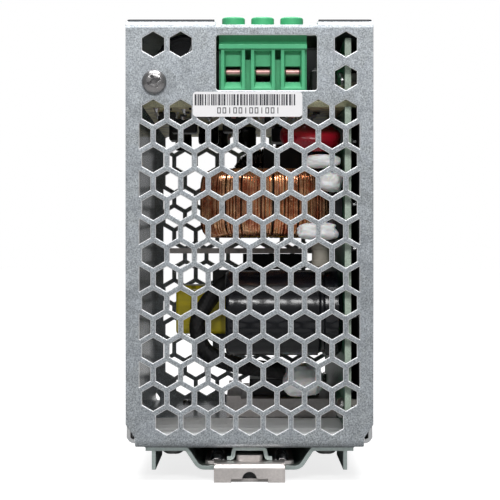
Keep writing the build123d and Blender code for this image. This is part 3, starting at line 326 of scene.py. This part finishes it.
# ---------------------------------------------------------------- mesh building
class Build:
    """Collects the vertices and faces of one piece."""

    def __init__(self):
        self.verts = []
        self.faces = []

    def add(self, verts, faces):
        base = len(self.verts)
        self.verts += [tuple(v) for v in verts]
        self.faces += [tuple(base + i for i in face) for face in faces]

    def block(self, low, high, round_by=0.0, place=None):
        """A box from low to high whose edges are cut back by round_by."""
        centre = (Vector(low) + Vector(high)) / 2
        half = (Vector(high) - Vector(low)) / 2
        steps = (-1, 1)
        verts = []
        for axis in range(3):
            for sx in steps:
                for sy in steps:
                    for sz in steps:
                        signs = (sx, sy, sz)
                        inset = [half[i] - (0 if i == axis else round_by) for i in range(3)]
                        verts.append(centre + Vector([s * d for s, d in zip(signs, inset)]))
        if place is not None:
            verts = [place @ v for v in verts]
        # the convex hull of the cut-back corners
        shape = bmesh.new()
        for v in verts:
            shape.verts.new(v)
        bmesh.ops.remove_doubles(shape, verts=shape.verts, dist=1e-7)
        bmesh.ops.convex_hull(shape, input=shape.verts)
        bmesh.ops.dissolve_limit(shape, angle_limit=0.01, verts=shape.verts, edges=shape.edges)
        shape.verts.index_update()
        self.add([v.co for v in shape.verts], [[v.index for v in f.verts] for f in shape.faces])
        shape.free()

    def lathe(self, profile, place, sides=40):
        """Turns (radius, height) pairs, which start and end on the axis, about place's Z axis."""
        inner = profile[1:-1]
        verts = [place @ Vector((0, 0, profile[0][1]))]
        for radius, height in inner:
            for i in range(sides):
                a = math.tau * i / sides
                verts.append(place @ Vector((radius * math.cos(a), radius * math.sin(a), height)))
        verts.append(place @ Vector((0, 0, profile[-1][1])))
        faces = [(0, 1 + (i + 1) % sides, 1 + i) for i in range(sides)]
        for ring in range(len(inner) - 1):
            a, b = 1 + ring * sides, 1 + (ring + 1) * sides
            for i in range(sides):
                j = (i + 1) % sides
                faces.append((a + i, a + j, b + j, b + i))
        last = 1 + (len(inner) - 1) * sides
        faces += [(last + i, last + (i + 1) % sides, len(verts) - 1) for i in range(sides)]
        self.add(verts, faces)

    def tube(self, points, radius, sides=8):
        """A round wire along the points, closed at both ends."""
        points = [Vector(p) for p in points]
        tangents = []
        for i in range(len(points)):
            before, after = points[max(i - 1, 0)], points[min(i + 1, len(points) - 1)]
            tangents.append((after - before).normalized())
        side = tangents[0].orthogonal().normalized()
        verts = []
        for point, tangent in zip(points, tangents):
            side = (side - tangent * side.dot(tangent)).normalized()
            other = tangent.cross(side)
            for k in range(sides):
                a = math.tau * k / sides
                verts.append(point + radius * (math.cos(a) * side + math.sin(a) * other))
        faces = []
        for i in range(len(points) - 1):
            for k in range(sides):
                n = (k + 1) % sides
                a, b = i * sides, (i + 1) * sides
                faces.append((a + k, a + n, b + n, b + k))
        faces.append(tuple(reversed(range(sides))))
        faces.append(tuple(range(len(verts) - sides, len(verts))))
        self.add(verts, faces)

    def piece(self, name, material, slot=None, body=CASE, replaces=(), smooth=30.0):
        mesh = bpy.data.meshes.new(name)
        mesh.from_pydata(self.verts, [], self.faces)
        mesh.validate()
        mesh.update()
        obj = bpy.data.objects.new(name, mesh)
        bpy.context.scene.collection.objects.link(obj)
        mesh.shade_smooth()
        mesh.set_sharp_from_angle(angle=math.radians(smooth))
        mesh.materials.append(MATERIALS[material])
        if replaces:
            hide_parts(*replaces)
        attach(obj, body)
        return obj


def islands(node):
    """The box of each separate solid in a CAD node, in order of its lowest corner."""
    mesh = NODES[node].data
    parent = {}
    keys = [tuple(round(c * 1e6) for c in v.co) for v in mesh.vertices]

    def root(key):
        while parent.setdefault(key, key) != key:
            parent[key] = parent[parent[key]]
            key = parent[key]
        return key

    for polygon in mesh.polygons:
        first = root(keys[polygon.vertices[0]])
        for i in polygon.vertices[1:]:
            parent[root(keys[i])] = first
    groups = {}
    for key, vertex in zip(keys, mesh.vertices):
        groups.setdefault(root(key), []).append(vertex.co)
    boxes = []
    for points in groups.values():
        low = Vector([min(p[i] for p in points) for i in range(3)])
        high = Vector([max(p[i] for p in points) for i in range(3)])
        boxes.append((low, high))
    return sorted(boxes, key=lambda b: tuple(b[0]))


def middle(box):
    return (Vector(box[0]) + Vector(box[1])) / 2


# ---------------------------------------------------------------- CAD nodes keep their shapes
SLOT_OF = {part["node"]: part["material_slot"] for part in frame["record"]["subparts"]}
for node_name, node_obj in NODES.items():
    dress(node_obj, "bright_sheet" if node_name == "chassis" else SLOT_OF[node_name])
    node_obj.data.shade_smooth()
    node_obj.data.set_sharp_from_angle(angle=math.radians(28))


# ---------------------------------------------------------------- sheared edges of the end panels
RIM_R = 0.18 * MM


def sheared_edges(node, y, outward):
    """Edges of the flat face at y, facing outward along Y, where it meets the wall of a hole."""
    mesh = NODES[node].data
    sides = {}
    for polygon in mesh.polygons:
        points = [mesh.vertices[i].co for i in polygon.vertices]
        flat = polygon.normal.y * outward > 0.99 and all(abs(v.y - y) < 0.01 * MM for v in points)
        wall = abs(polygon.normal.y) < 0.05
        for a, b in zip(points, points[1:] + points[:1]):
            key = frozenset(tuple(round(c * 1e6) for c in v) for v in (a, b))
            sides.setdefault(key, []).append((flat, wall, a, b))
    found = []
    for uses in sides.values():
        if any(use[0] for use in uses) and any(use[1] for use in uses):
            found.append((uses[0][2], uses[0][3]))
    return found


cover_low, cover_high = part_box("front_cover")
rims = Build()
for y, outward in ((cover_low.y, -1), (cover_high.y, 1)):
    inwards = Vector((0, -outward * RIM_R, 0))
    for a, b in sheared_edges("front_cover", y, outward):
        # the sheet's outer edges are left out, since a rim there would stand past the case
        if (b - a).length > 1e-6 and max(abs(a.x), abs(b.x)) < cover_high.x - RIM_R:
            rims.tube([a + inwards, b + inwards], RIM_R, 6)
# the rims carry a light zinc: partly the bare cut edge, partly a painted highlight along every hole
rims.piece("sheared_rims", "sheared_zinc_painted_highlight", slot="galvanised_sheet", smooth=70)


# ---------------------------------------------------------------- wound rings
SQUARENESS = 4.6
FIRST_ANGLE = math.radians(18)  # where on its turn the wire starts, below the outside


def ring_turns(turns, gap, r_in, r_out, half_h, wire_r, layers, seed, per_turn=28):
    """One wire wound round a ring about Z. In the bore the turns lie in layers.

    Each turn is a rounded rectangle, drawn as a superellipse with the power SQUARENESS.
    """
    rng = random.Random(seed)
    step = math.radians(360 - gap) / turns
    start = math.radians(gap / 2) + step / 2
    pitch = 2 * wire_r * 0.97
    centre = (r_in + r_out) / 2
    reach_out = r_out - centre - wire_r
    sway = [rng.uniform(-0.34, 0.34) * step for _ in range(turns + 1)]
    lift = [rng.uniform(-0.30, 0.0) * wire_r for _ in range(turns + 1)]
    points = []
    for k in range(turns):
        layer = k % layers
        reach_in = centre - r_in - wire_r - layer * pitch
        for j in range(per_turn):
            t = j / per_turn
            phi = math.tau * t - FIRST_ANGLE
            c, s = math.cos(phi), math.sin(phi)
            bulge = 2 / SQUARENESS
            across = math.copysign(abs(c) ** bulge, c)
            up = math.copysign(abs(s) ** bulge, s)
            outwards = max(across, 0.0)
            inwards = max(-across, 0.0)
            r = centre + across * (reach_out if c > 0 else reach_in) + lift[k] * outwards
            height = half_h - wire_r - layer * pitch * inwards - (1 - inwards) * 0.10 * pitch
            theta = start + step * (k + t) + sway[k] * (1 - t) + sway[k + 1] * t
            points.append(Vector((r * math.cos(theta), r * math.sin(theta), up * height)))
    return points


def ring_core(build, place, r_in, r_out, half_h, round_by, sides=56):
    """A rounded ring inside a winding."""
    corners = []
    for cr, ch, first in (
        (r_out - round_by, half_h - round_by, 0), (r_in + round_by, half_h - round_by, 90),
        (r_in + round_by, -half_h + round_by, 180), (r_out - round_by, -half_h + round_by, 270),
    ):
        for i in range(4):
            a = math.radians(first + 30 * i)
            corners.append((cr + round_by * math.cos(a), ch + round_by * math.sin(a)))
    verts, faces = [], []
    count = len(corners)
    for i in range(sides):
        a = math.tau * i / sides
        verts += [place @ Vector((r * math.cos(a), r * math.sin(a), h)) for r, h in corners]
        for k in range(count):
            n = (k + 1) % count
            j = (i + 1) % sides
            faces.append((i * count + k, j * count + k, j * count + n, i * count + n))
    build.add(verts, faces)


LINE_WIRE_R = 0.40 * MM
line_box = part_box("line_choke_winding")
line_low, line_high = line_box
line_r = (line_high.y - line_low.y) / 2
line_centre = Vector((line_low.x + line_r, middle(line_box).y, middle(line_box).z))
line_place = Matrix.Translation(line_centre)
line_turns = ring_turns(126, 34.0, 6.6 * MM, line_r, (line_high.z - line_low.z) / 2, LINE_WIRE_R, 3, 5)

winding = Build()
winding.tube([line_place @ p for p in line_turns], LINE_WIRE_R)
base_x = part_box("choke_base")[0].x
for side, start in ((1, line_turns[0]), (-1, line_turns[-1])):
    # each end of the wire runs slanting to the base
    tip = line_place @ start
    run = [tip, tip + Vector((1.6 * MM, side * -1.2 * MM, -2.2 * MM))]
    run.append(Vector((base_x - 1.6 * MM, run[1].y - side * 0.8 * MM, line_centre.z - 5.6 * MM)))
    run.append(Vector((base_x + 0.6 * MM, run[2].y, line_centre.z - 6.4 * MM)))
    winding.tube(run, LINE_WIRE_R, 10)
winding.piece("line_choke_turns", "copper_wire", replaces=["line_choke_winding"])


def small_ring(name, node, turn, material, wire_r, turns, layers, seed):
    """A wound ring that stands for a small choke: winding and core."""
    low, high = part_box(node)
    size = high - low
    place = Matrix.Translation((low + high) / 2) @ turn
    along = min(size)
    r_out = max(size) / 2
    r_in = r_out - (6.2 * MM if along < 8.5 * MM else 6.0 * MM)
    wires = Build()
    wires.tube([place @ p for p in ring_turns(turns, 16.0, r_in, r_out, along / 2, wire_r, layers, seed, 24)],
               wire_r)
    wires.piece(name, material, slot=SLOT_OF[node], replaces=[node])
    core = Build()
    cover = 2 * wire_r * layers
    ring_core(core, place, r_in + cover, r_out - 2.1 * wire_r, along / 2 - cover, 0.6 * MM)
    core.piece(name + "_core", "ferrite")


small_ring("filter_choke_turns", "filter_choke", AXIS_Y, "choke_dark", 0.30 * MM, 96, 3, 8)
small_ring("output_choke_turns", "output_choke", AXIS_Z, "copper_wire", 0.5 * MM, 48, 2, 9)

# ---------------------------------------------------------------- cans and fuse
def can_profile(length, radius, groove):
    """Half section of an aluminium can in its sleeve, from its vented top to its base."""
    return [
        (0, 0.5 * MM), (radius * 0.72, 0.5 * MM), (radius * 0.78, 0.08 * MM), (radius * 0.88, 0.0),
        (radius * 0.97, 0.35 * MM), (radius, 1.1 * MM), (radius, length - groove - 1.1 * MM),
        (radius * 0.955, length - groove - 0.45 * MM), (radius * 0.955, length - groove + 0.45 * MM),
        (radius, length - groove + 1.1 * MM), (radius, length - 0.9 * MM),
        (radius * 0.95, length - 0.2 * MM), (radius * 0.86, length), (0, length),
    ]


def vent(build, place, radius):
    """Scored cross on the top of a can, as two thin ridges."""
    for turn in (0, 90):
        spin = place @ Matrix.Rotation(math.radians(turn + 20), 4, "Z")
        build.block(
            (-radius * 0.62, -0.22 * MM, 0.34 * MM), (radius * 0.62, 0.22 * MM, 0.62 * MM), 0.1 * MM, spin
        )


cans, tops = Build(), Build()
for low, high in islands("small_capacitors"):
    size = high - low
    centre = middle((low, high))
    if abs(size.x - size.z) < 0.1 * MM:
        # lies along Y, with its vented top towards the input end
        place = Matrix.Translation((centre.x, low.y, centre.z)) @ AXIS_Y
        radius, length = size.x / 2, size.y
    else:
        place = Matrix.Translation((low.x, centre.y, centre.z)) @ AXIS_X
        radius, length = size.y / 2, size.x
    cans.lathe(can_profile(length, radius, 3.0 * MM), place)
    vent(tops, place, radius)
cans.piece("sleeved_cans", "can_sleeve", replaces=["small_capacitors"])
tops.piece("can_vents", "can_top", slot="heatsink")

low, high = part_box("input_fuse")
fuse = Build()
fuse_r = (high.x - low.x) / 2
fuse_len = high.z - low.z
fuse_place = Matrix.Translation((middle((low, high)).x, middle((low, high)).y, low.z))
fuse.lathe(
    [(0, 0), (fuse_r * 0.8, 0), (fuse_r, 0.4 * MM), (fuse_r, 1.9 * MM), (fuse_r * 0.93, 2.05 * MM),
     (fuse_r * 0.93, fuse_len - 2.05 * MM), (fuse_r, fuse_len - 1.9 * MM), (fuse_r, fuse_len - 0.4 * MM),
     (fuse_r * 0.8, fuse_len), (0, fuse_len)],
    fuse_place, 32,
)
fuse.piece("fuse_body", "fuse_beige", replaces=["input_fuse"])


# ---------------------------------------------------------------- silicone beads
def bead(build, low, high, seed):
    """A rounded lump that fills its box, with soft dents."""
    centre, half = (low + high) / 2, (high - low) / 2
    shape = bmesh.new()
    bmesh.ops.create_icosphere(shape, subdivisions=5, radius=1.0)
    for v in shape.verts:
        n = v.co.normalized()
        power = 3.4
        reach = sum(abs(c) ** power for c in n) ** (-1 / power)
        dent = noise.noise(n * 1.4 + Vector((seed, 0, 0))) * 0.16
        dent += noise.noise(n * 3.3 + Vector((0, seed, 0))) * 0.07
        scale = reach * (0.90 + min(dent, 0.10))
        v.co = centre + Vector((n.x * half.x, n.y * half.y, n.z * half.z)) * scale
    shape.verts.index_update()
    build.add([v.co for v in shape.verts], [[v.index for v in f.verts] for f in shape.faces])
    shape.free()


beads = Build()
for seed, (low, high) in enumerate(islands("sealant_beads"), start=3):
    bead(beads, low, high, 1.7 * seed)
beads.piece("silicone_beads", "sealant", replaces=["sealant_beads"], smooth=60)

# ---------------------------------------------------------------- latch springs
SPRING_WIRE_R = 0.22 * MM
SPRING_COILS = 13
for number, (low, high) in enumerate(islands("latch_springs"), start=1):
    coil = Build()
    coil_r = (high.x - low.x) / 2 - SPRING_WIRE_R
    span = high.y - low.y - 2 * SPRING_WIRE_R
    points = []
    count = SPRING_COILS * 18
    for i in range(count + 1):
        t = i / count
        # the last turn at each end is closed up
        along = (t - 0.055 * math.sin(math.tau * t)) * span
        a = math.tau * SPRING_COILS * t
        points.append((
            middle((low, high)).x + coil_r * math.cos(a),
            low.y + SPRING_WIRE_R + along,
            middle((low, high)).z + coil_r * math.sin(a),
        ))
    coil.tube(points, SPRING_WIRE_R, 8)
    spring = coil.piece(f"latch_spring_{number}", "spring_wire", replaces=["latch_springs"])
    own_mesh(spring)

# the latch's folded lip behind the notch of the pull tab, dressed near-black as painted shade for the shade
# that lies between the plates
LIP_SHADE_HALF_W = 5.5 * MM
tab_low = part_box("rail_latch")[0]
lip_shade = Build()
lip_shade.block(
    (-LIP_SHADE_HALF_W, tab_low.y + 3.0 * MM, tab_low.z + 0.1 * MM),
    (LIP_SHADE_HALF_W, tab_low.y + 3.6 * MM, tab_low.z + 3.3 * MM), 0.1 * MM,
)
# near-black here is painted shade on what is a zinc lip
lip_shade.piece("pull_tab_lip_painted_shade", "case_black", slot="latch_zinc", body="latch")

# ---------------------------------------------------------------- parts under the front board
bodies, leads, sleeves, tins = Build(), Build(), Build(), Build()
board_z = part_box("front_board")[0].z
for low, high in islands("board_parts"):
    size = high - low
    centre = middle((low, high))
    if low.z > board_z:
        # moulded case on the front side of the board, with a raised rim on its top
        bodies.block(low, (high.x, high.y, high.z - 0.4 * MM), 0.4 * MM)
        bodies.block(
            (low.x + 0.7 * MM, low.y + 0.7 * MM, high.z - 0.8 * MM),
            (high.x - 0.7 * MM, high.y - 0.7 * MM, high.z),
            0.2 * MM,
        )
    elif size.z > 5.5 * MM:
        # upright can
        radius = min(size.x, size.y) / 2
        place = Matrix.Translation((centre.x, centre.y, low.z))
        sleeves.lathe(can_profile(size.z, radius, 1.6 * MM), place, 28)
        vent(tins, place, radius)
    elif size.z > 3.4 * MM:
        # film capacitor on two leads
        bodies.block((low.x, low.y, low.z), (high.x, high.y, high.z - 0.6 * MM), 0.4 * MM)
        for y in (low.y + 1.2 * MM, high.y - 1.2 * MM):
            leads.tube([(centre.x, y, high.z - 1.0 * MM), (centre.x, y, high.z)], 0.3 * MM)
    else:
        # flat package with a row of leads on each side
        bodies.block(
            (low.x + 0.7 * MM, low.y, low.z), (high.x - 0.7 * MM, high.y, high.z - 0.15 * MM), 0.25 * MM
        )
        count = max(2, int(size.y / (1.27 * MM)))
        for i in range(count):
            y = low.y + size.y * (i + 0.5) / count
            for x, out in ((low.x, 1), (high.x, -1)):
                leads.tube([
                    (x + out * 0.9 * MM, y, low.z + size.z * 0.5),
                    (x + out * 0.4 * MM, y, low.z + size.z * 0.5),
                    (x + out * 0.25 * MM, y, board_z - 0.2 * MM),
                    (x - out * 0.2 * MM, y, board_z - 0.12 * MM),
                ], 0.16 * MM, 6)
bodies.piece("board_packages", "small_parts", replaces=["board_parts"])
leads.piece("board_leads", "solder")
sleeves.piece("board_cans", "can_sleeve")
tins.piece("board_can_vents", "can_top", slot="heatsink")

# clipped leads in their solder, and chips, near the input end of the front board
rng = random.Random(21)
on_board = islands("board_parts") + islands("solder_joints")
taken = [(low.xy, high.xy) for low, high in on_board if low.z < board_z]
clipped, chips = Build(), Build()


def free_spot(x, y, room):
    return all(
        x + room < low.x or x - room > high.x or y + room < low.y or y - room > high.y for low, high in taken
    )


board_low, board_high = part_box("front_board")
for i in range(110):
    x = rng.uniform(board_low.x + 2 * MM, board_high.x - 7 * MM)
    y = rng.uniform(board_low.y + 1.6 * MM, board_low.y + 34 * MM)
    long = rng.uniform(1.0, 2.4) * MM
    lean = rng.uniform(-0.5, 0.5) * MM
    if not free_spot(x, y, 1.3 * MM):
        continue
    taken.append((Vector((x - 1.0 * MM, y - 1.0 * MM)), Vector((x + 1.0 * MM, y + 1.0 * MM))))
    if i % 4:
        place = Matrix.Translation((x, y, board_z)) @ Matrix.Rotation(math.pi, 4, "X")
        clipped.lathe(
            [(0, 0), (0.95 * MM, 0), (0.72 * MM, 0.25 * MM), (0.42 * MM, 0.7 * MM), (0.3 * MM, 1.1 * MM),
             (0, 1.15 * MM)],
            place, 16,
        )
        clipped.tube([(x, y, board_z - 0.6 * MM), (x + lean, y, board_z - long)], 0.27 * MM, 8)
    else:
        chips.block(
            (x - 0.9 * MM, y - 0.55 * MM, board_z - 0.6 * MM), (x + 0.9 * MM, y + 0.55 * MM, board_z),
            0.08 * MM,
        )
clipped.piece("clipped_leads", "solder")
chips.piece("chip_parts", "small_parts")

# ---------------------------------------------------------------- label
label_low, label_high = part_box("serial_label")
PRINT = 0.02 * MM
ink = Build()


def mark(x0, x1, z0, z1):
    ink.block((x0, label_low.y - PRINT, z0), (x1, label_low.y + PRINT, z1))


bar_top = label_high.z - 0.62 * MM
bar_foot = bar_top - 2.85 * MM
rng = random.Random(12)
x = label_low.x + 0.45 * MM
while x < label_high.x - 1.9 * MM:
    wide = rng.choice((0.20, 0.20, 0.36, 0.50)) * MM
    mark(x, x + wide, bar_foot, bar_top)
    x += wide + rng.choice((0.15, 0.15, 0.24, 0.34)) * MM
# a row of plain ring and stroke marks under the bars
glyph_top = bar_foot - 0.50 * MM
glyph_foot = glyph_top - 1.55 * MM
pen = 0.22 * MM
for i in range(12):
    x = label_low.x + 6.2 * MM + i * 1.36 * MM
    if i % 3 == 2:
        mark(x + 0.34 * MM, x + 0.34 * MM + pen, glyph_foot, glyph_top)
        continue
    mark(x, x + pen, glyph_foot, glyph_top)
    mark(x + 0.92 * MM - pen, x + 0.92 * MM, glyph_foot, glyph_top)
    mark(x + pen, x + 0.92 * MM - pen, glyph_top - pen, glyph_top)
    mark(x + pen, x + 0.92 * MM - pen, glyph_foot, glyph_foot + pen)
ink.piece("label_marks", "label_ink", slot="overlay_film")

# ---------------------------------------------------------------- front panel print
panel = Build()
overlay_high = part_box("front_overlay")[1]
panel_z = overlay_high.z


def stripe(x0, x1, y0, y1):
    panel.block((x0, y0, panel_z - PRINT), (x1, y1, panel_z + PRINT))


def arc(centre, radius, first, last, wide, count=28):
    """Part of a ring, printed as short strokes that touch."""
    for i in range(count):
        a = math.radians(first + (last - first) * (i + 0.5) / count)
        length = radius * math.radians(abs(last - first)) / count * 0.55
        place = Matrix.Translation((centre.x, centre.y, panel_z)) @ Matrix.Rotation(a, 4, "Z")
        panel.block(
            (radius - wide / 2, -length, -PRINT), (radius + wide / 2, length, PRINT), 0.0, place
        )


dial = middle(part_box("trimmer_rotor"))
lamp = middle(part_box("light_pipe"))
arc(dial, 5.0 * MM, -50, 230, 0.28 * MM)
for i in range(7):
    a = math.radians(-50 + 280 * i / 6)
    place = Matrix.Translation((dial.x, dial.y, panel_z)) @ Matrix.Rotation(a, 4, "Z")
    panel.block((5.2 * MM, -0.14 * MM, -PRINT), (6.3 * MM, 0.14 * MM, PRINT), 0.0, place)
arc(lamp, 2.9 * MM, 0, 360, 0.24 * MM)
inset = 2.2 * MM
thin = 0.3 * MM
edge_x = overlay_high.x - inset
for side in (-1, 1):
    stripe(side * edge_x - thin / 2, side * edge_x + thin / 2, -36 * MM, 36 * MM)
    stripe(-edge_x, edge_x, side * 36 * MM - thin / 2, side * 36 * MM + thin / 2)
# pole marks beside both rows of screws: plus and minus on the output, strokes on the input
outputs = sorted(middle(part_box(n)).x for n in NODES if n.startswith("output_screw"))
inputs = sorted(middle(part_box(n)).x for n in NODES if n.startswith("input_screw"))
for i, x in enumerate(outputs):
    y = 37.6 * MM
    stripe(x - 0.9 * MM, x + 0.9 * MM, y - 0.15 * MM, y + 0.15 * MM)
    if i >= len(outputs) // 2:
        stripe(x - 0.15 * MM, x + 0.15 * MM, y - 0.9 * MM, y + 0.9 * MM)
for x in inputs:
    stripe(x - 0.15 * MM, x + 0.15 * MM, -38.9 * MM, -37.1 * MM)
panel.piece("panel_print", "panel_ink", slot="label_film")

# ---------------------------------------------------------------- stage, light and camera
FLOOR = 6.0
floor_z = CAD_BOX[0].z - 0.05 * MM
floor_mesh = bpy.data.meshes.new("floor")
floor_mesh.from_pydata(
    [(sx * FLOOR, sy * FLOOR, floor_z) for sx, sy in ((-1, -1), (1, -1), (1, 1), (-1, 1))], [], [(0, 1, 2, 3)]
)
floor = bpy.data.objects.new("floor", floor_mesh)
bpy.context.scene.collection.objects.link(floor)
# pale paper with a painted glow seen only by the camera, weaker near the object and stronger further out, so
# it shows brighter than it lights the object and keeps a faint shadow
FLOOR_TONE = 0.26
paper = Shader("floor_paper", (FLOOR_TONE, FLOOR_TONE, FLOOR_TONE), 0.9)
paper.roughen(paper.noise(40.0), 0.04)
away = paper.node("ShaderNodeVectorMath", operation="LENGTH")
paper.link(paper.coords.outputs["Object"], away.inputs[0])
painted_glow = paper.spread(away.outputs["Value"], 0.12, 1.1, 0.80, 0.95)
ray = paper.node("ShaderNodeLightPath")
paper.bsdf.inputs["Emission Color"].default_value = (1.0, 1.0, 1.0, 1.0)
painted_glow_for_camera = paper.maths("MULTIPLY", painted_glow, ray.outputs["Is Camera Ray"])
paper.link(painted_glow_for_camera, paper.bsdf.inputs["Emission Strength"])
floor_mesh.materials.append(paper.material)

# a white room that lights the object less than it shows
ROOM_LIGHT = 0.24
world = bpy.data.worlds.new("studio")
bpy.context.scene.world = world
world.use_nodes = True
room = world.node_tree
shown = room.nodes["Background"]
shown.inputs["Color"].default_value = (1.0, 1.0, 1.0, 1.0)
shown.inputs["Strength"].default_value = 1.0
lighting = room.nodes.new("ShaderNodeBackground")
lighting.inputs["Color"].default_value = (0.97, 0.98, 1.0, 1.0)
lighting.inputs["Strength"].default_value = ROOM_LIGHT
seen = room.nodes.new("ShaderNodeLightPath")
either = room.nodes.new("ShaderNodeMixShader")
room.links.new(seen.outputs["Is Camera Ray"], either.inputs["Fac"])
room.links.new(lighting.outputs["Background"], either.inputs[1])
room.links.new(shown.outputs["Background"], either.inputs[2])
room.links.new(either.outputs["Shader"], room.nodes["World Output"].inputs["Surface"])


def softbox(name, place, target, size, watts):
    data = bpy.data.lights.new(name, "AREA")
    data.shape = "RECTANGLE"
    data.size, data.size_y = size
    data.energy = watts
    obj = bpy.data.objects.new(name, data)
    bpy.context.scene.collection.objects.link(obj)
    obj.location = place
    obj.rotation_euler = (Vector(target) - Vector(place)).to_track_quat("-Z", "Y").to_euler()


middle_of_case = (CAD_BOX[0] + CAD_BOX[1]) / 2
softbox("top_light", (0.0, -0.14, 0.85), middle_of_case, (0.7, 0.5), 11.0)
softbox("front_light", (0.0, -0.95, 0.62), middle_of_case, (0.9, 0.12), 7.2)
softbox("back_light", (0.0, 0.70, 0.85), middle_of_case, (0.6, 0.25), 3.5)

# the camera looks straight at the input end
CAMERA_DISTANCE = 444.0 * MM
CAMERA_HEIGHT = 55.05 * MM
END_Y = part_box("front_cover")[0].y
camera_data = bpy.data.cameras.new("camera")
camera_data.sensor_width = 36.0
camera_data.lens = 125.8
camera_data.shift_x = 0.001
camera_data.shift_y = 0.009
camera_data.clip_start = 0.01
camera_data.clip_end = 20.0
camera = bpy.data.objects.new("camera", camera_data)
bpy.context.scene.collection.objects.link(camera)
camera.location = (0.0, END_Y - CAMERA_DISTANCE, CAMERA_HEIGHT)
camera.rotation_euler = (math.radians(90), 0, 0)
bpy.context.scene.camera = camera
bpy.context.scene.view_settings.view_transform = "Standard"
